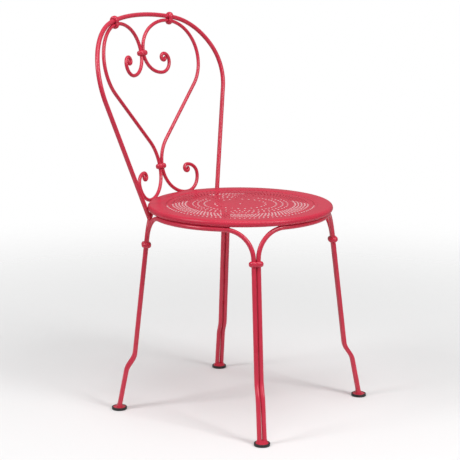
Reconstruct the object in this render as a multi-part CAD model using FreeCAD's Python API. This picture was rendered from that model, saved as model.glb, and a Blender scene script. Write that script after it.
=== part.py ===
import FreeCAD, Part
import math
import os

from FreeCAD import Vector

# A bistro chair of bent steel rod with a perforated round seat.
# Millimetres. +Z is up, the sitter faces -Y, and the chair is alike left and right of the plane X = 0.
# Places are written with Y measured from the seat's centre. At the end every piece is moved along Y
# so that the origin lies on the floor in the middle of the chair's box.

# rods
frame_rod = 10.0
scroll_rod = 8.0
fit_gap = 0.15
ring_gap = 0.15
glide_gap = 0.3
weld_gap = 0.3
rod_end_round = 1.5

# seat
seat_height = 460.0
rim_radius = 196.8
rim_roll = 14.2
sheet = 0.8
roll_sweep = 285.0
field_radius = 168.5
field_drop = 1.5
step_width = 3.0

# holes in the seat: ring radius, number of holes, share of a step that the ring is turned by
hole = 4.6
hole_rings = [
    (56.0, 24, 0.0),
    (79.5, 48, 0.5),
    (93.5, 48, 0.0),
    (104.5, 48, 0.5),
    (162.5, 100, 0.5),
]
lace_first = 121.0
lace_pitch = 7.0
lace_rows = 5
lace_count = 100

# legs, each a pair of rods: places of the middle of the pair on the left side
leg_top_front = (147.9, 139.7)
leg_top_rear = (146.1, 139.7)
knee_top_front = (174.8, 169.7)
knee_top_rear = (169.1, 166.6)
knee_low_front = (188.0, 182.2)
knee_low_rear = (180.8, 179.8)
foot_front = (200.4, 195.4)
foot_rear = (192.2, 193.1)
knee_top_height = 121.5
knee_low_height = 95.0
knee_bend = 40.0
foot_spread = 0.3

# rods under the seat
flare_bend_front = 64.3
flare_bend_rear = 50.0
front_apex = 217.3
rear_apex = 222.0
side_apex = (223.1, 4.5)
straight_left = 1.0

# back hoop, left half: its foot on the rear rod, the corners of its straight runs and its bends;
# each third value is a height above the seat's top
hoop_foot = (125.2, 154.7, -36.0)
hoop_shoulder = (233.8, 209.0, 279.1)
shoulder_bend = 124.5
hoop_crest = (172.9, 254.1, 379.7)
crest_bend = 152.5
hoop_top = (56.2, 278.7, 401.0)
top_bend = 390.0

# scrolls: each lies in one flat plane that leans back and turns forward from the middle of the back
scroll_root = 208.2
back_lean = 11.44
side_turn = 9.54
lower_touch = 59.5
lower_collar_rise = 3.0
loop_bend = 66.0
loop_side_bend = 38.2
loop_return = [21.3, 30.2]
lower_curl = [8.6, 6.8, 4.3]
lower_curl_end = 150.0
heart_base_bend = 87.0
heart_tilt = 45.0
heart_side_bend = 89.9
heart_side_turn = 165.0
heart_inner_bend = 65.3
cup_bend = 48.7
cup_side_bend = 25.8
cup_return = [18.5, 11.5]
upper_curl = [8.6, 6.5, 4.3]
upper_curl_end = 135.0

# collars that clasp two rods
collar_height = 12.0
collar_wall = 5.5
collar_round = 5.1
leg_collar_drop_front = 89.5
leg_collar_drop_rear = 85.6
curved_gap = 0.7

# feet
glide_radius = 17.0
glide_height = 6.0
glide_floor = 2.4
glide_round = 1.4
plate_radius = 14.0
plate_thickness = 3.2
plate_round = 1.0
hub_height = 5.0
hub_foot = 2.6
hub_lip = 0.8

# derived sizes
frame_half = frame_rod / 2
scroll_half = scroll_rod / 2
pair_half = frame_half + fit_gap
roll_half = rim_roll / 2
roll_height = seat_height - roll_half
ring_height = seat_height - rim_roll - ring_gap - frame_half
plate_top = glide_floor + glide_gap + plate_thickness
front_edge = foot_front[1] + glide_radius
rear_edge = hoop_top[1] + frame_half
origin_shift = Vector(0, (front_edge - rear_edge) / 2, 0)


def rod_path(points, bends):
    """Edges of straight runs joined by tangent arcs, one bend radius for each inner point."""
    edges = []
    last = points[0]
    for before, corner, after, radius in zip(points, points[1:], points[2:], bends):
        back = (before - corner).normalize()
        ahead = (after - corner).normalize()
        half_turn = (math.pi - back.getAngle(ahead)) / 2
        reach = radius * math.tan(half_turn)
        start = corner + back * reach
        end = corner + ahead * reach
        inward = (back + ahead).normalize()
        middle = corner + inward * (radius / math.cos(half_turn) - radius)
        if (start - last).Length > 1e-4:
            edges.append(Part.LineSegment(last, start).toShape())
        edges.append(Part.Arc(start, middle, end).toShape())
        last = end
    edges.append(Part.LineSegment(last, points[-1]).toShape())
    return edges


def sweep_rod(edges, radius):
    """A round rod along tangent edges, square at both ends."""
    path = Part.Wire(edges)
    start = edges[0].valueAt(edges[0].FirstParameter)
    along = edges[0].tangentAt(edges[0].FirstParameter)
    section = Part.Wire([Part.Circle(start, along, radius).toShape()])
    rod = path.makePipeShell([section], True, False)
    expected = math.pi * radius * radius * path.Length
    print("rod length %.1f, volume ratio %.5f" % (path.Length, rod.Volume / expected))
    return rod


def round_ends(rod, places, radius, size):
    """Rounds the flat end faces of a rod that lie at the given places."""
    rims = []
    for edge in rod.Edges:
        is_circle = isinstance(edge.Curve, Part.Circle)
        if is_circle and any((edge.Curve.Center - place).Length < 0.01 for place in places):
            if abs(edge.Curve.Radius - radius) < 0.01:
                rims.append(edge)
    return rod.makeFillet(size, rims)


def leg_line(end, side):
    """Middle line of a leg: foot, lower knee, upper knee and top; end is -1 front, +1 rear."""
    places = [
        (foot_front, foot_rear, plate_top),
        (knee_low_front, knee_low_rear, knee_low_height),
        (knee_top_front, knee_top_rear, knee_top_height),
        (leg_top_front, leg_top_rear, ring_height),
    ]
    line = []
    for front, rear, height in places:
        x, y = front if end < 0 else rear
        line.append(Vector(side * x, end * y, height))
    return line


def leg_cross(end, side):
    """Level direction across a leg, from its side rod towards its front or rear rod."""
    line = leg_line(end, side)
    outward = line[2] - line[3]
    across = Vector(-outward.y, outward.x, 0).normalize()
    return across if across.x * side < 0 else across * -1


def leg_place(end, side, height):
    """Middle of a leg's two rods at a height on its long straight run."""
    knee, top = leg_line(end, side)[2:]
    return knee + (top - knee) * ((height - knee.z) / (top.z - knee.z))


def leg_rod_points(end, side, toward):
    """Corners of one rod of a leg, foot first; toward is +1 for the front or rear rod, -1 for the side rod."""
    line = leg_line(end, side)
    across = leg_cross(end, side) * toward
    rise = line[1] - line[0]
    lean = rise.getAngle(Vector(0, 0, 1))
    lift = (glide_gap + frame_half * math.sin(lean)) / math.cos(lean)
    foot = line[0] + rise.normalize() * lift + across * (pair_half + foot_spread)
    return [foot] + [corner + across * pair_half for corner in line[1:]]


def ring_rod_edges(first, apex, last, first_flare, last_flare):
    """Up one leg, round under the rim by way of the apex corner and down another leg."""
    apex_turn = math.pi - (first[-1] - apex).getAngle(last[-1] - apex)
    radii = []
    for leg, flare in ((first, first_flare), (last, last_flare)):
        run = apex - leg[-1]
        flare_turn = math.pi - (leg[-2] - leg[-1]).getAngle(run)
        spare = run.Length - flare * math.tan(flare_turn / 2) - straight_left
        radii.append(spare / math.tan(apex_turn / 2))
    bends = [knee_bend, knee_bend, first_flare, min(radii), last_flare, knee_bend, knee_bend]
    return rod_path(first + [apex] + last[::-1], bends)


def end_rod_edges(end, apex):
    """The front or rear rod, which makes one rod of two legs."""
    left = leg_rod_points(end, 1, 1)
    right = leg_rod_points(end, -1, 1)
    flare = flare_bend_front if end < 0 else flare_bend_rear
    return ring_rod_edges(left, Vector(0, end * apex, ring_height), right, flare, flare)


def side_rod_edges(side):
    """A side rod, which makes one rod of a front leg and of the rear leg behind it."""
    apex = Vector(side * side_apex[0], side_apex[1], ring_height)
    front = leg_rod_points(-1, side, -1)
    rear = leg_rod_points(1, side, -1)
    return ring_rod_edges(front, apex, rear, flare_bend_front, flare_bend_rear)


def hoop_edges():
    corners = (hoop_foot, hoop_shoulder, hoop_crest, hoop_top)
    left = [Vector(x, y, seat_height + rise) for x, y, rise in corners]
    right = [Vector(-corner.x, corner.y, corner.z) for corner in left]
    bends = [shoulder_bend, crest_bend, top_bend]
    return rod_path(left + right[::-1], bends + bends[::-1])


def make_hoop():
    """The back hoop, its two ends hollowed to sit on the rear rod."""
    hoop = sweep_rod(hoop_edges(), frame_half)
    saddle = sweep_rod(end_rod_edges(1, rear_apex), frame_half + weld_gap)
    pieces = hoop.cut(saddle).Solids
    return max(pieces, key=lambda piece: piece.Volume)


def scroll_axes(side):
    """Origin and the two directions of a scroll's plane: outward, and up the middle of the back."""
    lean = math.radians(back_lean)
    up = Vector(0, math.sin(lean), math.cos(lean))
    square = Vector(side * math.tan(math.radians(side_turn)), 1, -math.tan(lean))
    out = up.cross(square).normalize()
    if out.x * side < 0:
        out = out * -1
    return Vector(0, scroll_root, seat_height), out, up


def bend_chain(place, heading, bends):
    """Arcs and straight runs one after another in a plane; a bend is (radius, degrees to the left)."""
    x, y = place
    turn = math.radians(heading)
    pieces = []
    for bend in bends:
        if len(bend) == 1:
            end = (x + bend[0] * math.cos(turn), y + bend[0] * math.sin(turn))
            pieces.append([(x, y), end])
        else:
            radius, degrees = bend
            hand = 1 if degrees > 0 else -1
            swing = math.radians(degrees)
            centre = (x - hand * radius * math.sin(turn), y + hand * radius * math.cos(turn))
            stations = [
                (
                    centre[0] + hand * radius * math.sin(turn + swing * share),
                    centre[1] - hand * radius * math.cos(turn + swing * share),
                )
                for share in (0.0, 0.5, 1.0)
            ]
            pieces.append(stations)
            turn += swing
            end = stations[2]
        x, y = end
    return pieces


def heart_run():
    """Length of the straight run that brings the heart's outline back to the middle line."""
    tilt = math.radians(heart_tilt)
    turned = math.radians(heart_tilt - heart_side_turn)
    base = heart_base_bend * (1 - math.cos(tilt))
    side = heart_side_bend * (math.cos(turned) - math.cos(tilt))
    inner = heart_inner_bend * (-1 - math.cos(turned))
    return -(base + side + inner) / math.sin(tilt)


def heart_chain():
    """The heart's outline in the scroll's plane, from its base round to the middle line again."""
    bends = [(heart_base_bend, -heart_tilt), (heart_run(),), (heart_side_bend, heart_side_turn)]
    bends += [(heart_inner_bend, 180 + heart_tilt - heart_side_turn)]
    return bend_chain((scroll_half + fit_gap, lower_touch), 90, bends)


def upper_touch():
    """Height in the scroll's plane where the two scrolls meet again."""
    return heart_chain()[-1][-1][1]


def loop_bends(bottom, outside, back, curl, curl_end):
    """Bends of a loop that ends in a curl: quarter turns, with two eighths over the top."""
    bends = [(bottom, 90), (outside, 90)]
    bends += [(radius, 45) for radius in back]
    bends += [(radius, 90) for radius in curl[:-1]]
    return bends + [(curl[-1], curl_end)]


def scroll_chain():
    """The scroll's middle line in its plane, from the lower curl's end to the upper curl's end."""
    middle = scroll_half + fit_gap
    loop = loop_bends(loop_bend, loop_side_bend, loop_return, lower_curl, lower_curl_end)
    cup = loop_bends(cup_bend, cup_side_bend, cup_return, upper_curl, upper_curl_end)
    below = bend_chain((middle, lower_touch), -90, loop)
    return [piece[::-1] for piece in below[::-1]] + heart_chain() + bend_chain((middle, upper_touch()), -90, cup)


def scroll_edges(side):
    origin, out, up = scroll_axes(side)
    edges = []
    for piece in scroll_chain():
        spots = [origin + out * u + up * v for u, v in piece]
        if len(spots) == 2:
            edges.append(Part.LineSegment(*spots).toShape())
        else:
            edges.append(Part.Arc(*spots).toShape())
    return edges


def make_scroll(side):
    edges = scroll_edges(side)
    rod = sweep_rod(edges, scroll_half)
    ends = [edges[0].Vertexes[0].Point, edges[-1].Vertexes[-1].Point]
    return round_ends(rod, ends, scroll_half, rod_end_round)


def oval_wire(first, second, pitch, grow):
    """Outline round two circles of given radii whose centres lie pitch apart along X."""
    tilt = math.asin((first - second) / pitch)
    a = first + grow
    b = second + grow
    left = Vector(-pitch / 2, 0, 0)
    right = Vector(pitch / 2, 0, 0)
    rise = Vector(math.sin(tilt), math.cos(tilt), 0)
    fall = Vector(math.sin(tilt), -math.cos(tilt), 0)
    edges = [
        Part.LineSegment(left + rise * a, right + rise * b).toShape(),
        Part.Arc(right + rise * b, right + Vector(b, 0, 0), right + fall * b).toShape(),
        Part.LineSegment(right + fall * b, left + fall * a).toShape(),
        Part.Arc(left + fall * a, left - Vector(a, 0, 0), left + rise * a).toShape(),
    ]
    return Part.Wire(edges)


def make_collar(centre, along, across, first, second, pitch, gap):
    """Two rounded lobes in one, clasping two rods; across points from the first rod to the second."""
    lobes = []
    for offset, rod_half in ((-pitch / 2, first), (pitch / 2, second)):
        base = Vector(offset, 0, -collar_height / 2)
        lobe = Part.makeCylinder(rod_half + collar_wall, collar_height, base)
        rims = [e for e in lobe.Edges if isinstance(e.Curve, Part.Circle)]
        lobes.append(lobe.makeFillet(collar_round, rims))
    bore = Part.Face(oval_wire(first, second, pitch, gap))
    bore.translate(Vector(0, 0, -collar_height))
    ring = lobes[0].fuse(lobes[1]).cut(bore.extrude(Vector(0, 0, 2 * collar_height)))
    z_axis = along.normalize()
    x_axis = (across - z_axis * across.dot(z_axis)).normalize()
    y_axis = z_axis.cross(x_axis)
    turn = FreeCAD.Matrix(
        x_axis.x, y_axis.x, z_axis.x, centre.x,
        x_axis.y, y_axis.y, z_axis.y, centre.y,
        x_axis.z, y_axis.z, z_axis.z, centre.z,
    )
    ring.transformShape(turn)
    return ring


def make_leg_collar(end, side):
    drop = leg_collar_drop_front if end < 0 else leg_collar_drop_rear
    centre = leg_place(end, side, seat_height - drop)
    along = leg_place(end, side, ring_height) - centre
    return make_collar(centre, along, leg_cross(end, side), frame_half, frame_half, 2 * pair_half, fit_gap)


def make_middle_collar(height):
    """Clasps the two scrolls where they touch on the middle line of the back."""
    origin, out, up = scroll_axes(1)
    spot = origin + out * (scroll_half + fit_gap) + up * height
    centre = Vector(0, spot.y, spot.z)
    return make_collar(centre, up, Vector(1, 0, 0), scroll_half, scroll_half, 2 * spot.x, curved_gap)


def nearest_on(edges, samples):
    """Closest place and direction on one chain of edges to another chain, from sampled stations."""
    best = None
    other = [e.valueAt(p) for e in samples for p in station_list(e)]
    for edge in edges:
        for station in station_list(edge):
            here = edge.valueAt(station)
            for there in other:
                reach = (there - here).Length
                if best is None or reach < best[0]:
                    best = (reach, here, there, edge.tangentAt(station))
    return best


def station_list(edge):
    count = max(2, int(edge.Length / 1.5))
    first, last = edge.ParameterRange
    return [first + (last - first) * i / count for i in range(count + 1)]


def make_top_collar(side):
    """Clasps a scroll to the hoop where the two come closest."""
    high = seat_height + upper_touch()
    hoop = [e for e in hoop_edges() if e.CenterOfMass.z > high and e.CenterOfMass.x * side > -1]
    scroll = [e for e in scroll_edges(side) if e.CenterOfMass.z > high]
    reach, on_hoop, on_scroll, along = nearest_on(hoop, scroll)
    print("hoop to scroll %.2f at %s" % (reach, on_hoop))
    centre = (on_hoop + on_scroll) / 2
    return make_collar(centre, along, on_scroll - on_hoop, frame_half, scroll_half, reach, curved_gap)


def make_seat():
    inner = sheet / 2
    field_top = seat_height - field_drop
    start = math.radians(90)
    end = math.radians(90 - roll_sweep)
    mid = (start + end) / 2

    def on_roll(radius, angle):
        return Vector(rim_radius + radius * math.cos(angle), 0, roll_height + radius * math.sin(angle))

    outside = roll_half
    inside = roll_half - sheet
    step_end = field_radius + step_width
    join = field_radius - step_width
    corners = [
        Vector(join, 0, field_top),
        Vector(field_radius, 0, field_top),
        Vector(step_end, 0, seat_height),
        on_roll(outside, start),
    ]
    edges = [Part.LineSegment(a, b).toShape() for a, b in zip(corners, corners[1:])]
    edges.append(Part.Arc(on_roll(outside, start), on_roll(outside, mid), on_roll(outside, end)).toShape())
    edges.append(Part.LineSegment(on_roll(outside, end), on_roll(inside, end)).toShape())
    edges.append(Part.Arc(on_roll(inside, end), on_roll(inside, mid), on_roll(inside, start)).toShape())
    below = [
        on_roll(inside, start),
        Vector(step_end + inner, 0, seat_height - sheet),
        Vector(field_radius + inner, 0, field_top - sheet),
        Vector(join, 0, field_top - sheet),
        Vector(join, 0, field_top),
    ]
    edges += [Part.LineSegment(a, b).toShape() for a, b in zip(below, below[1:])]
    band = Part.Face(Part.Wire(edges)).revolve(Vector(0, 0, 0), Vector(0, 0, 1), 360)
    level = field_top - sheet
    outlines = [Part.Wire([Part.Circle(Vector(0, 0, level), Vector(0, 0, 1), join).toShape()])]
    for radius, count, share in [(0.0, 1, 0.0)] + hole_rings + lace_rings():
        for i in range(count):
            angle = 2 * math.pi * (i + share) / count
            spot = Vector(radius * math.cos(angle), radius * math.sin(angle), level)
            outlines.append(Part.Wire([Part.Circle(spot, Vector(0, 0, 1), hole / 2).toShape()]))
    field = Part.Face(outlines).extrude(Vector(0, 0, sheet))
    return band.fuse(field).removeSplitter()


def lace_rings():
    """Rows of holes set between each other like lace."""
    return [(lace_first + lace_pitch * row, lace_count, 0.5 * (row % 2)) for row in range(lace_rows)]


def make_glide(end, side):
    foot = leg_line(end, side)[0]
    cup = Part.makeCylinder(glide_radius, glide_height, Vector(foot.x, foot.y, 0))
    rims = [e for e in cup.Edges if isinstance(e.Curve, Part.Circle)]
    cup = cup.makeFillet(glide_round, rims)
    well = Part.makeCylinder(plate_radius + glide_gap, glide_height, Vector(foot.x, foot.y, glide_floor))
    return cup.cut(well)


def make_foot_plate(end, side):
    foot = leg_line(end, side)[0]
    base = Vector(foot.x, foot.y, glide_floor + glide_gap)
    plate = Part.makeCylinder(plate_radius, plate_thickness, base)
    rims = [e for e in plate.Edges if isinstance(e.Curve, Part.Circle)]
    plate = plate.makeFillet(plate_round, rims)
    across = leg_cross(end, side)
    line = leg_line(end, side)
    drift = (line[1] - line[0]) * (hub_height / (line[1].z - line[0].z))
    pitch = 2 * (pair_half + foot_spread)
    turn = math.degrees(math.atan2(across.y, across.x))
    ovals = []
    for place, grow in ((Vector(foot.x, foot.y, plate_top - 1), hub_foot), (foot + drift, hub_lip)):
        oval = oval_wire(frame_half, frame_half, pitch, grow)
        oval.rotate(Vector(0, 0, 0), Vector(0, 0, 1), turn)
        oval.translate(place)
        ovals.append(oval)
    hub = Part.makeLoft(ovals, True, True)
    plate = plate.fuse(hub)
    for toward in (1, -1):
        points = leg_rod_points(end, side, toward)
        along = (points[1] - points[0]).normalize()
        bottom = points[0] - along * glide_gap
        plate = plate.cut(Part.makeCylinder(frame_half + fit_gap, 3 * hub_height, bottom, along))
    return plate


def save(name, shape):
    shape = shape.copy()
    shape.translate(origin_shift)
    if not shape.isValid() or shape.Volume <= 0:
        raise ValueError("bad shape: " + name)
    shape.exportStep("parts/%s.step" % name)
    print("%s: %d solid, %.0f mm3" % (name, len(shape.Solids), shape.Volume))


os.makedirs("parts", exist_ok=True)
save("seat", make_seat())
save("back_hoop", make_hoop())
save("front_rod", sweep_rod(end_rod_edges(-1, front_apex), frame_half))
save("rear_rod", sweep_rod(end_rod_edges(1, rear_apex), frame_half))
save("upper_middle_collar", make_middle_collar(upper_touch()))
save("lower_middle_collar", make_middle_collar(lower_touch + lower_collar_rise))
for side, side_name in ((-1, "right"), (1, "left")):
    save("side_rod_" + side_name, sweep_rod(side_rod_edges(side), frame_half))
    save("scroll_" + side_name, make_scroll(side))
    save("top_collar_" + side_name, make_top_collar(side))
    for end, end_name in ((-1, "front"), (1, "rear")):
        leg = end_name + "_" + side_name
        save("leg_collar_" + leg, make_leg_collar(end, side))
        save("foot_plate_" + leg, make_foot_plate(end, side))
        save("glide_" + leg, make_glide(end, side))
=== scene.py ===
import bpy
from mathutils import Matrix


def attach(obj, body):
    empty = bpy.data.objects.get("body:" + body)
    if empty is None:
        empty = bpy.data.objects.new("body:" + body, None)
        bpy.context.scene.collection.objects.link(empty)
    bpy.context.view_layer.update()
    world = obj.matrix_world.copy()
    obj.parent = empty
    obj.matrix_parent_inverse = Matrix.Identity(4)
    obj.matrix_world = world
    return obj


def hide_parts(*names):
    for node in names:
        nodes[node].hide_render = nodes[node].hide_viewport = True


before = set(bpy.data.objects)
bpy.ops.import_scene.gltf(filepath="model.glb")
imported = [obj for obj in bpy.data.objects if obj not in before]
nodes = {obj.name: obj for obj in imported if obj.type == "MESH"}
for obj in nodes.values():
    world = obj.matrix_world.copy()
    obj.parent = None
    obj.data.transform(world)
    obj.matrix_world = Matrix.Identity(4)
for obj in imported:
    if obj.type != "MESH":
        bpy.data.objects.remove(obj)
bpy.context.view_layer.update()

import math

import bpy
import numpy
from mathutils import Matrix, Vector
from mathutils.bvhtree import BVHTree

# A bistro chair of bent rod with a perforated round seat.
# Lengths in the dictionaries are millimetres unless a note says otherwise.
# The scene itself is in metres.

mm = 0.001
print("bistro chair: frame loaded with", len(nodes), "pieces")


class Wire:
    # one output socket; an expression on wires adds its Math nodes
    def __init__(self, graph, socket):
        self.graph = graph
        self.socket = socket

    def maths(self, operation, *values):
        return self.graph.add("ShaderNodeMath", {"operation": operation}, dict(enumerate(values)))

    def __add__(self, other):
        return self.maths("ADD", self, other)

    def __radd__(self, other):
        return self.maths("ADD", other, self)

    def __sub__(self, other):
        return self.maths("SUBTRACT", self, other)

    def __rsub__(self, other):
        return self.maths("SUBTRACT", other, self)

    def __mul__(self, other):
        return self.maths("MULTIPLY", self, other)

    def __rmul__(self, other):
        return self.maths("MULTIPLY", other, self)

    def __truediv__(self, other):
        return self.maths("DIVIDE", self, other)

    def __rtruediv__(self, other):
        return self.maths("DIVIDE", other, self)

    def low(self, other):
        return self.maths("MINIMUM", self, other)

    def high(self, other):
        return self.maths("MAXIMUM", self, other)

    def sine(self):
        return self.maths("SINE", self)

    def cosine(self):
        return self.maths("COSINE", self)

    def out(self, name):
        # another output of the same node
        return Wire(self.graph, self.socket.node.outputs[name])


class Graph:
    # a node tree that is filled one node at a time
    def __init__(self, tree):
        self.tree = tree

    def add(self, kind, settings=None, values=None, output=0):
        node = self.tree.nodes.new(kind)
        for name, value in (settings or {}).items():
            if name == "stops":
                self.setStops(node.color_ramp.elements, value)
            else:
                setattr(node, name, value)
        for name, value in (values or {}).items():
            self.put(node.inputs[name], value)
        return Wire(self, node.outputs[output]) if node.outputs else None

    def setStops(self, ramp, stops):
        while len(ramp) < len(stops):
            ramp.new(1.0)
        for stop, (place, colour) in zip(ramp, stops):
            stop.position = place
            stop.color = colour

    def put(self, socket, value):
        # a wire, several wires for one socket, or a plain value
        if isinstance(value, list) and isinstance(value[0], Wire):
            for wire in value:
                self.tree.links.new(wire.socket, socket)
        elif isinstance(value, Wire):
            self.tree.links.new(value.socket, socket)
        else:
            socket.default_value = value

    def vector(self, x=0.0, y=0.0, z=0.0):
        return self.add("ShaderNodeCombineXYZ", {}, {"X": x, "Y": y, "Z": z})

    def noise(self, place, size, detail, roughness=0.5):
        # size in metres
        return self.add("ShaderNodeTexNoise", {}, {"Vector": place, "Scale": 1 / size,
                                                   "Detail": detail, "Roughness": roughness})

    def bump(self, height, strength, distance):
        return self.add("ShaderNodeBump", {}, {"Strength": strength, "Distance": distance,
                                               "Height": height})

    def mixColour(self, factor, first, second):
        return self.add("ShaderNodeMix", {"data_type": "RGBA"}, {0: factor, 6: first, 7: second}, 2)

    def spread(self, value, source, target, shape="LINEAR"):
        # takes the range source to the range target
        return self.add("ShaderNodeMapRange", {"interpolation_type": shape},
                        {0: value, 1: source[0], 2: source[1], 3: target[0], 4: target[1]})


def newGeometryTree(name, sizes):
    # a geometry tree with a geometry input and one named input for each size
    tree = bpy.data.node_groups.new(name, "GeometryNodeTree")
    tree.interface.new_socket("Geometry", in_out="INPUT", socket_type="NodeSocketGeometry")
    tree.interface.new_socket("Geometry", in_out="OUTPUT", socket_type="NodeSocketGeometry")
    for label, value in sizes.items():
        kind = "NodeSocketInt" if isinstance(value, int) else "NodeSocketFloat"
        if isinstance(value, bpy.types.Material):
            kind = "NodeSocketMaterial"
        tree.interface.new_socket(label, in_out="INPUT", socket_type=kind)
    graph = Graph(tree)
    start = graph.add("NodeGroupInput").socket.node
    sources = {socket.name: Wire(graph, socket) for socket in start.outputs if socket.name}
    return tree, graph, sources


def finishGeometryTree(graph, wire):
    graph.add("NodeGroupOutput", {}, {0: wire})


def runGeometryTree(piece, tree, sizes):
    # puts the tree on the piece, sets its inputs by identifier and keeps the result as a plain mesh
    modifier = piece.modifiers.new(tree.name, "NODES")
    modifier.node_group = tree
    for socket in tree.interface.items_tree:
        if socket.in_out == "INPUT" and socket.name in sizes:
            modifier[socket.identifier] = sizes[socket.name]
    bpy.context.view_layer.update()
    ready = piece.evaluated_get(bpy.context.evaluated_depsgraph_get())
    mesh = bpy.data.meshes.new_from_object(ready)
    piece.modifiers.remove(modifier)
    piece.data = mesh
    mesh.name = piece.name
    return mesh


def newPiece(name, points, edges=(), faces=()):
    # points in millimetres
    mesh = bpy.data.meshes.new(name)
    mesh.from_pydata([Vector(p) * mm for p in points], list(edges), list(faces))
    piece = bpy.data.objects.new(name, mesh)
    bpy.context.scene.collection.objects.link(piece)
    return piece


def newMaterial(name):
    material = bpy.data.materials.new(name)
    material.use_nodes = True
    material.node_tree.nodes.clear()
    graph = Graph(material.node_tree)
    place = graph.add("ShaderNodeTexCoord").out("Object")
    return material, graph, place


def closeMaterial(graph, fixed, values):
    # fixed numbers go on the shader's own sockets, and what varies is linked
    shader = graph.add("ShaderNodeBsdfPrincipled", {}, {**fixed, **values})
    graph.add("ShaderNodeOutputMaterial", {}, {0: shader})


noiseRange = (0.3, 0.7)      # where most of a noise's values lie

paint = {
    "colour": (0.61, 0.027, 0.064, 1.0),
    "deepColour": (0.565, 0.022, 0.055, 1.0),
    "cloudSize": 60.0,       # size of the slow changes in tone
    "peelSize": 1.3,         # size of the orange peel
    "grainSize": 0.35,
    "grainShare": 0.25,      # how much of the bump is grain
    "bumpHeight": 0.002,
    "bumpStrength": 0.5,
    "gloss": (0.26, 0.31),   # roughness, lowest and highest
    "seatRoughMore": 0.08,
    "ior": 1.5,
    "specular": 0.5,
    "seatSpecular": 0.34,
}


def powderPaint(name, roughMore=0.0, specular=paint["specular"]):
    # stoved powder paint: an even red with slow changes of tone and a fine orange peel
    material, graph, place = newMaterial(name)
    clouds = graph.noise(place, paint["cloudSize"] * mm, 3.0, 0.55)
    peel = graph.noise(place, paint["peelSize"] * mm, 2.0, 0.45)
    grain = graph.noise(place, paint["grainSize"] * mm, 1.0)
    depth = graph.spread(clouds, noiseRange, (0.0, 1.0))
    tone = graph.mixColour(depth, paint["deepColour"], paint["colour"])
    gloss = [roughness + roughMore for roughness in paint["gloss"]]
    rough = graph.spread(clouds * 0.5 + grain * 0.5, noiseRange, gloss)
    bump = graph.bump(peel + grain * paint["grainShare"], paint["bumpStrength"],
                      paint["bumpHeight"] * mm)
    closeMaterial(graph, {"IOR": paint["ior"], "Specular IOR Level": specular},
                  {"Base Color": tone, "Roughness": rough, "Normal": bump})
    return material


glide = {
    "colour": (0.010, 0.011, 0.012, 1.0),
    "dust": (0.045, 0.045, 0.043, 1.0),
    "dustHeight": 2.2,       # how far up from the floor the dust reaches
    "dustPatches": (0.42, 0.62),
    "scuffsPerMetre": 180.0,
    "grainSize": 0.5,
    "bumpHeight": 0.03,
    "bumpStrength": 0.4,
    "gloss": (0.34, 0.62),   # roughness of clean and of dusty plastic
    "dustRough": 0.6,
    "grainRange": (0.3, 1.2),
    "ior": 1.49,
}


def mouldedPlastic(name):
    # black moulded plastic with a fine grain, a little dusty and scuffed where it meets the floor
    material, graph, place = newMaterial(name)
    grain = graph.noise(place, glide["grainSize"] * mm, 2.0)
    scuffs = graph.noise(place, 1 / glide["scuffsPerMetre"], 4.0, 0.7)
    height = graph.add("ShaderNodeSeparateXYZ", {}, {"Vector": place}).out("Z")
    low = graph.spread(height, (0.0, glide["dustHeight"] * mm), (1.0, 0.0))
    dust = low * graph.spread(scuffs, glide["dustPatches"], (0.0, 1.0))
    tone = graph.mixColour(dust, glide["colour"], glide["dust"])
    rough = graph.spread(grain + dust * glide["dustRough"], glide["grainRange"], glide["gloss"])
    bump = graph.bump(grain, glide["bumpStrength"], glide["bumpHeight"] * mm)
    closeMaterial(graph, {"IOR": glide["ior"]},
                  {"Base Color": tone, "Roughness": rough, "Normal": bump})
    return material


finishes = {
    "paint_rods": powderPaint("paintOnRods"),
    "paint_collars": powderPaint("paintOnCollars"),
    "paint_seat": powderPaint("paintOnSeat", paint["seatRoughMore"], paint["seatSpecular"]),
    "paint_feet": powderPaint("paintOnFeet"),
    "glide": mouldedPlastic("blackGlides"),
}
for node in nodes.values():
    for place, old in enumerate(node.data.materials):
        node.data.materials[place] = finishes[old.name]
print("finishes: painted", len(nodes), "pieces")


seat = {
    "centre": (0.0, -35.65, 0.0),
    "top": 460.0,
    "sheet": 0.8,
    "fieldEdge": 165.5,
    "fieldDrop": 1.5,
    "stepStart": 168.5,
    "stepEnd": 171.5,
    "bendOut": 0.8,          # where a bend of the step begins on its flat side,
    "bendIn": 0.4,           # where it ends on the slope,
    "bendRise": 0.25,        # and how far it has risen by then
    "topFlatEnd": 8.0,       # inside the middle of the roll
    "rollMiddle": 196.8,
    "rollRadius": 7.1,
    "rollSweep": 285.0,      # degrees
    "rollParts": 28,
    "rimSides": 144,
    "fieldSheet": 0.3,       # the pierced field, thinned so that light shows through from low down
    "holeRadius": 2.3,
    "holeSides": 16,
    "lip": 0.12,
    "lipParts": 2,
    "mergeWithin": 0.02,
    # ring radius, holes, share of a step that the ring is turned by
    "rings": [(0.0, 1, 0.0), (56.0, 24, 0.0), (79.5, 48, 0.5), (93.5, 48, 0.0), (104.5, 48, 0.5),
              (162.5, 100, 0.5)],
    "laceFirst": 121.0,
    "lacePitch": 7.0,
    "laceRows": 5,
    "laceHoles": 100,
    "laceTurn": 0.5,         # of every second row
}


def holeRingTree():
    # points spaced evenly on a circle
    tree, graph, size = newGeometryTree("holeRing", {"Radius": 0.1, "Count": 1, "Turn": 0.0})
    step = graph.add("GeometryNodeInputIndex")
    angle = (step + size["Turn"]) * math.tau / size["Count"]
    spot = graph.vector(angle.cosine() * size["Radius"], angle.sine() * size["Radius"])
    points = graph.add("GeometryNodePoints", {}, {"Count": size["Count"], "Position": spot})
    finishGeometryTree(graph, points)
    return tree


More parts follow.
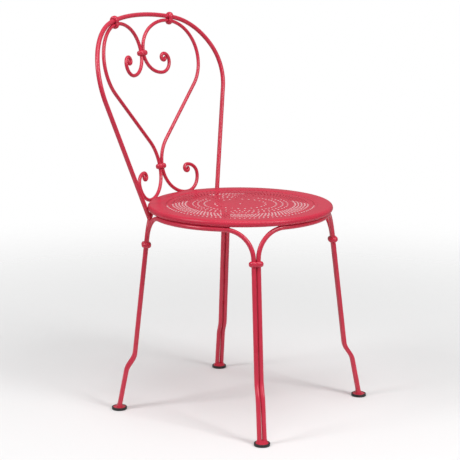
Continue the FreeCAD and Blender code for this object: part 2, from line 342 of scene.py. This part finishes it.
def seatTree(sizes, ringCount):
    # the object's own mesh is the rim's outline; the tree turns it round and fills its middle
    tree, graph, size = newGeometryTree("perforatedSeat", sizes)

    ringTree = holeRingTree()
    rings = [graph.add("GeometryNodeGroup", {"node_tree": ringTree},
                       {key: size[f"Ring {number} {key}"] for key in ("Radius", "Count", "Turn")})
             for number in range(1, ringCount + 1)]
    spots = graph.add("GeometryNodeJoinGeometry", {}, {0: rings})

    def circle(sides, radius):
        return graph.add("GeometryNodeCurvePrimitiveCircle", {}, {"Resolution": sides,
                                                                  "Radius": radius})

    def atSpots(instance):
        holes = graph.add("GeometryNodeInstanceOnPoints", {}, {"Points": spots,
                                                               "Instance": instance})
        return graph.add("GeometryNodeRealizeInstances", {}, {0: holes})

    def flatWithHoles(holeRadius, height, turned):
        outline = circle(size["Rim Sides"], size["Field Radius"])
        holes = atSpots(circle(size["Hole Sides"], holeRadius))
        both = graph.add("GeometryNodeJoinGeometry", {}, {0: [outline, holes]})
        face = graph.add("GeometryNodeFillCurve", {}, {"Curve": both})
        if turned:
            face = graph.add("GeometryNodeFlipFaces", {}, {0: face})
        face = graph.add("GeometryNodeTransform", {}, {"Geometry": face,
                                                       "Translation": graph.vector(z=height)})
        return graph.add("GeometryNodeSetShadeSmooth", {}, {"Geometry": face,
                                                            "Shade Smooth": False})

    fieldTop = size["Top"] - size["Drop"]
    fieldBottom = fieldTop - size["Field Sheet"]
    topFace = flatWithHoles(size["Hole Radius"] + size["Lip"], fieldTop, False)
    bottomFace = flatWithHoles(size["Hole Radius"], fieldBottom, True)

    # the wall of one hole: a quarter round at its mouth, then straight down
    bands = sizes["Lip Parts"] + 1
    wall = graph.add("GeometryNodeMeshGrid", {}, {"Size X": 1.0, "Size Y": 1.0,
                                                  "Vertices X": size["Hole Sides"] + 1,
                                                  "Vertices Y": bands + 1})
    grid = graph.add("ShaderNodeSeparateXYZ", {},
                     {"Vector": graph.add("GeometryNodeInputPosition")})
    around = (grid.out("X") + 0.5) * math.tau
    down = (grid.out("Y") + 0.5) * bands / sizes["Lip Parts"]
    bend = down.low(1.0) * (math.pi / 2)
    reach = size["Hole Radius"] + size["Lip"] * (1 - bend.sine())
    straight = (down - 1.0).high(0.0) * sizes["Lip Parts"]
    depth = (size["Lip"] * (1 - bend.cosine())
             + straight * (size["Field Sheet"] - size["Lip"]))
    spot = graph.vector(reach * around.cosine(), reach * around.sine(), fieldTop - depth)
    walls = atSpots(graph.add("GeometryNodeSetPosition", {}, {"Geometry": wall, "Position": spot}))

    # the rim's outline, swept round the field's edge
    path = circle(size["Rim Sides"], size["Field Radius"])
    outline = graph.add("GeometryNodeMeshToCurve", {}, {"Mesh": size["Geometry"]})
    rim = graph.add("GeometryNodeCurveToMesh", {}, {"Curve": path, "Profile Curve": outline})

    whole = graph.add("GeometryNodeJoinGeometry", {}, {0: [topFace, bottomFace, walls, rim]})
    whole = graph.add("GeometryNodeMergeByDistance", {}, {"Geometry": whole,
                                                          "Distance": size["Merge Within"]})
    toCentre = graph.vector(y=size["Centre Y"])
    whole = graph.add("GeometryNodeTransform", {}, {"Geometry": whole, "Translation": toCentre})
    whole = graph.add("GeometryNodeRealizeInstances", {}, {0: whole})
    whole = graph.add("GeometryNodeSetMaterial", {}, {"Geometry": whole,
                                                      "Material": size["Paint"]})
    finishGeometryTree(graph, whole)
    return tree


def rimOutline():
    # from the field's upper edge over the step and the roll to its end, and back inside
    def roll(radius, turns):
        return [(seat["rollMiddle"] + radius * math.cos(turn),
                 seat["top"] - seat["rollRadius"] + radius * math.sin(turn)) for turn in turns]

    top = seat["top"]
    low = top - seat["fieldDrop"]
    step = [(seat["stepStart"] - seat["bendOut"], low),
            (seat["stepStart"] + seat["bendIn"], low + seat["bendRise"]),
            (seat["stepEnd"] - seat["bendIn"], top - seat["bendRise"]),
            (seat["stepEnd"] + seat["bendOut"], top)]
    turns = [math.radians(90 - seat["rollSweep"] * i / seat["rollParts"])
             for i in range(seat["rollParts"] + 1)]
    outside = [(seat["fieldEdge"], low), *step, (seat["rollMiddle"] - seat["topFlatEnd"], top),
               *roll(seat["rollRadius"], turns)]
    inside = [*roll(seat["rollRadius"] - seat["sheet"], turns[::-1]),
              *((x, height - seat["sheet"]) for x, height in reversed(step)),
              (seat["fieldEdge"], low - seat["fieldSheet"])]
    return outside + inside


def makeSeat():
    lace = [(seat["laceFirst"] + seat["lacePitch"] * row, seat["laceHoles"],
             seat["laceTurn"] * (row % 2)) for row in range(seat["laceRows"])]
    rings = seat["rings"] + lace
    sizes = {
        "Top": seat["top"] * mm,
        "Drop": seat["fieldDrop"] * mm,
        "Field Sheet": seat["fieldSheet"] * mm,
        "Field Radius": seat["fieldEdge"] * mm,
        "Rim Sides": seat["rimSides"],
        "Hole Radius": seat["holeRadius"] * mm,
        "Hole Sides": seat["holeSides"],
        "Lip": seat["lip"] * mm,
        "Lip Parts": seat["lipParts"],
        "Centre Y": seat["centre"][1] * mm,
        "Merge Within": seat["mergeWithin"] * mm,
        "Paint": finishes["paint_seat"],
    }
    for number, (radius, count, turn) in enumerate(rings, 1):
        sizes[f"Ring {number} Radius"] = radius * mm
        sizes[f"Ring {number} Count"] = count
        sizes[f"Ring {number} Turn"] = turn
    points = [(x - seat["fieldEdge"], -height, 0.0) for x, height in rimOutline()]
    edges = [(i, i + 1) for i in range(len(points) - 1)]
    piece = newPiece("perforatedSeat", points, edges)
    mesh = runGeometryTree(piece, seatTree(sizes, len(rings)), sizes)
    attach(piece, "root")
    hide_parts("seat")
    print("seat:", len(mesh.polygons), "faces,", sum(count for _, count, _ in rings), "holes")


makeSeat()


weld = {
    "bite": 0.8,             # how far a seam goes into each of its two pieces
    "widestGap": 2.2,
    "step": 2.0,             # degrees between the stations of a seam round the rim
    "fewestStations": 3,     # a shorter seam is left out
    "sides": 8,
    "tackReach": 5.0,        # half the length of a tack weld
    "tackRadius": 1.7,
    "tackParts": 8,
    "tackEnd": 1.02,         # a little over 1, so that a tack's ends keep some thickness
    "nearby": 16.0,          # how much of a rod is looked at for its direction
}


def meshPoints(node):
    return [vertex.co.copy() for vertex in nodes[node].data.vertices]


def surfaceOf(node):
    faces = [tuple(face.vertices) for face in nodes[node].data.polygons]
    return BVHTree.FromPolygons(meshPoints(node), faces)


def rimSeams(rod):
    # stations along the groove between the rim's roll and a rod below it: place and radius
    surface = surfaceOf(rod)
    centre = Vector(seat["centre"]) * mm
    points = meshPoints(rod)
    middle = sum(points, Vector()) / len(points) - centre
    behind = math.atan2(-middle.y, -middle.x)
    roll = seat["rollRadius"] * mm
    runs = [[]]
    for i in range(round(360 / weld["step"])):
        angle = behind + math.radians(weld["step"] * i)
        outward = Vector((math.cos(angle), math.sin(angle), 0.0))
        core = centre + outward * (seat["rollMiddle"] * mm)
        core.z = seat["top"] * mm - roll
        spot, _, _, reach = surface.find_nearest(core)
        gap = reach - roll
        share = gap / (weld["widestGap"] * mm)
        if share < 1:
            place = core + (spot - core).normalized() * (roll + gap / 2)
            runs[-1].append((place, gap / 2 + weld["bite"] * mm * (1 - share)))
        elif runs[-1]:
            runs.append([])
    return [run for run in runs if len(run) >= weld["fewestStations"]]


def tackWeld(first, second, side):
    # a short bead, full in the middle, where two pieces come closest on one side of the chair
    surface = surfaceOf(second)
    here = [point for point in meshPoints(first) if point.x * side > 0]
    nearest = min(here, key=lambda point: surface.find_nearest(point)[3])
    middle = (nearest + surface.find_nearest(nearest)[0]) / 2
    around = [point - nearest for point in here]
    close = numpy.array([away for away in around if away.length < weld["nearby"] * mm])
    along = Vector(numpy.linalg.eigh(numpy.cov(close.T))[1][:, 2])
    shares = [2 * i / weld["tackParts"] - 1 for i in range(weld["tackParts"] + 1)]
    return [(middle + along * (share * weld["tackReach"] * mm),
             weld["tackRadius"] * mm * math.sqrt(weld["tackEnd"] - share * share))
            for share in shares]


def seamTree(sizes):
    # a round bead along each run, as thick as its stations say
    tree, graph, size = newGeometryTree("weldSeam", sizes)
    thickness = graph.add("GeometryNodeInputNamedAttribute", {"data_type": "FLOAT"},
                          {"Name": "weldRadius"})
    path = graph.add("GeometryNodeMeshToCurve", {}, {"Mesh": size["Geometry"]})
    ring = graph.add("GeometryNodeCurvePrimitiveCircle", {}, {"Resolution": size["Sides"],
                                                              "Radius": 1.0})
    bead = graph.add("GeometryNodeCurveToMesh", {}, {"Curve": path, "Profile Curve": ring,
                                                     "Scale": thickness, "Fill Caps": True})
    bead = graph.add("GeometryNodeRealizeInstances", {}, {0: bead})
    bead = graph.add("GeometryNodeSetMaterial", {}, {"Geometry": bead, "Material": size["Paint"]})
    finishGeometryTree(graph, bead)
    return tree


def makeWelds():
    runs = []
    for rod in ("front_rod", "rear_rod", "side_rod_right", "side_rod_left"):
        runs += rimSeams(rod)
    for side, name in ((-1, "right"), (1, "left")):
        runs.append(tackWeld("scroll_" + name, "back_hoop", side))
        runs.append(tackWeld("scroll_" + name, "seat", side))
        runs.append(tackWeld("rear_rod", "back_hoop", side))
    stations = [station for run in runs for station in run]
    edges = []
    for run in runs:
        first = edges[-1][1] + 1 if edges else 0
        edges += [(first + i, first + i + 1) for i in range(len(run) - 1)]
    piece = newPiece("weldSeams", [place / mm for place, _ in stations], edges)
    thickness = piece.data.attributes.new("weldRadius", "FLOAT", "POINT")
    thickness.data.foreach_set("value", [radius for _, radius in stations])
    sizes = {"Sides": weld["sides"], "Paint": finishes["paint_rods"]}
    mesh = runGeometryTree(piece, seamTree(sizes), sizes)
    mesh.shade_smooth()
    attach(piece, "root")
    print("welds:", len(runs), "beads,", len(mesh.polygons), "faces")


makeWelds()


studioFloor = {
    "colour": (0.88, 0.88, 0.88, 1.0),
    "radius": 2.4,           # metres
    "sides": 96,
    "fade": (0.3, 2.2),      # metres from the middle: where it begins to fade and where it is gone
    "hazeSize": 1 / 3,       # metres
    "gloss": (0.75, 0.85),   # roughness, lowest and highest
    "specular": 0.2,
}


def makeFloor():
    sides = studioFloor["sides"]
    reach = studioFloor["radius"] / mm
    turns = [math.tau * i / sides for i in range(sides)]
    ring = [(reach * math.cos(turn), reach * math.sin(turn), 0) for turn in turns]
    floor = newPiece("floor", ring, faces=[tuple(range(sides))])
    material, graph, place = newMaterial("paleFloor")
    haze = graph.noise(place, studioFloor["hazeSize"], 2.0)
    rough = graph.spread(haze, noiseRange, studioFloor["gloss"])
    away = graph.add("ShaderNodeVectorMath", {"operation": "LENGTH"}, {0: place}, "Value")
    shown = graph.spread(away, studioFloor["fade"], (1.0, 0.0), "SMOOTHSTEP")
    closeMaterial(graph, {"Base Color": studioFloor["colour"],
                          "Specular IOR Level": studioFloor["specular"]},
                  {"Roughness": rough, "Alpha": shown})
    floor.data.materials.append(material)


lamps = {   # place, aimed at, width, height (metres), watts
    "overheadLamp": ((-0.5, -0.6, 2.9), (0.0, 0.0, 0.4), 1.6, 1.6, 27),
    "rightLamp": ((-0.15, -2.3, 2.2), (0.0, 0.0, 0.8), 0.7, 1.2, 35),
    "leftLamp": ((-2.0, 1.1, 2.2), (0.0, 0.0, 0.8), 0.7, 1.2, 29),
}


def softLamp(name, place, target, width, height, watts):
    light = bpy.data.lights.new(name, "AREA")
    light.shape = "RECTANGLE"
    light.size = width
    light.size_y = height
    light.energy = watts
    lamp = bpy.data.objects.new(name, light)
    lamp.location = place
    aim = Vector(target) - Vector(place)
    lamp.rotation_euler = aim.to_track_quat("-Z", "Y").to_euler()
    bpy.context.scene.collection.objects.link(lamp)


air = {
    "backdrop": 1.0,         # what the camera sees behind the floor
    # share of the way from straight down to straight up, brightness
    "glow": [(0.0, 0.3), (0.48, 0.3), (0.62, 0.34), (1.0, 0.45)],
}


def makeWorld():
    world = bpy.data.worlds.new("studioAir")
    world.use_nodes = True
    world.node_tree.nodes.clear()
    graph = Graph(world.node_tree)
    ray = graph.add("ShaderNodeTexCoord").out("Generated")
    height = graph.add("ShaderNodeSeparateXYZ", {}, {"Vector": ray}).out("Z") * 0.5 + 0.5
    stops = [(share, (level, level, level, 1.0)) for share, level in air["glow"]]
    glow = graph.add("ShaderNodeValToRGB", {"stops": stops}, {"Fac": height})
    seen = graph.add("ShaderNodeLightPath").out("Is Camera Ray")
    white = (air["backdrop"],) * 3 + (1.0,)
    light = graph.add("ShaderNodeBackground", {}, {"Color": graph.mixColour(seen, glow, white)})
    graph.add("ShaderNodeOutputWorld", {}, {0: light})
    bpy.context.scene.world = world


view = {
    "place": (-2.539, -1.78265, 1.043),   # metres
    "yaw": 55.05,            # degrees from +Y towards +X
    "pitch": -11.80,
    "roll": 0.18,
    "lens": 111.44,
    "sensor": 36.0,
    "clipEnd": 60.0,         # metres
}


def makeCamera():
    lens = bpy.data.cameras.new("camera")
    lens.lens = view["lens"]
    lens.sensor_width = view["sensor"]
    lens.clip_end = view["clipEnd"]
    camera = bpy.data.objects.new("camera", lens)
    yaw = math.radians(view["yaw"])
    pitch = math.radians(view["pitch"])
    forward = Vector((math.sin(yaw) * math.cos(pitch), math.cos(yaw) * math.cos(pitch),
                      math.sin(pitch)))
    right = Vector((math.cos(yaw), -math.sin(yaw), 0.0))
    up = right.cross(forward)
    turn = Matrix((right, up, -forward)).transposed()
    turn = turn @ Matrix.Rotation(math.radians(view["roll"]), 3, "Z")
    camera.matrix_world = Matrix.Translation(view["place"]) @ turn.to_4x4()
    bpy.context.scene.collection.objects.link(camera)
    bpy.context.scene.camera = camera


makeFloor()
makeWorld()
for name, setup in lamps.items():
    softLamp(name, *setup)
makeCamera()
bpy.context.scene.view_settings.view_transform = "Standard"
print("studio: floor, light and camera ready")
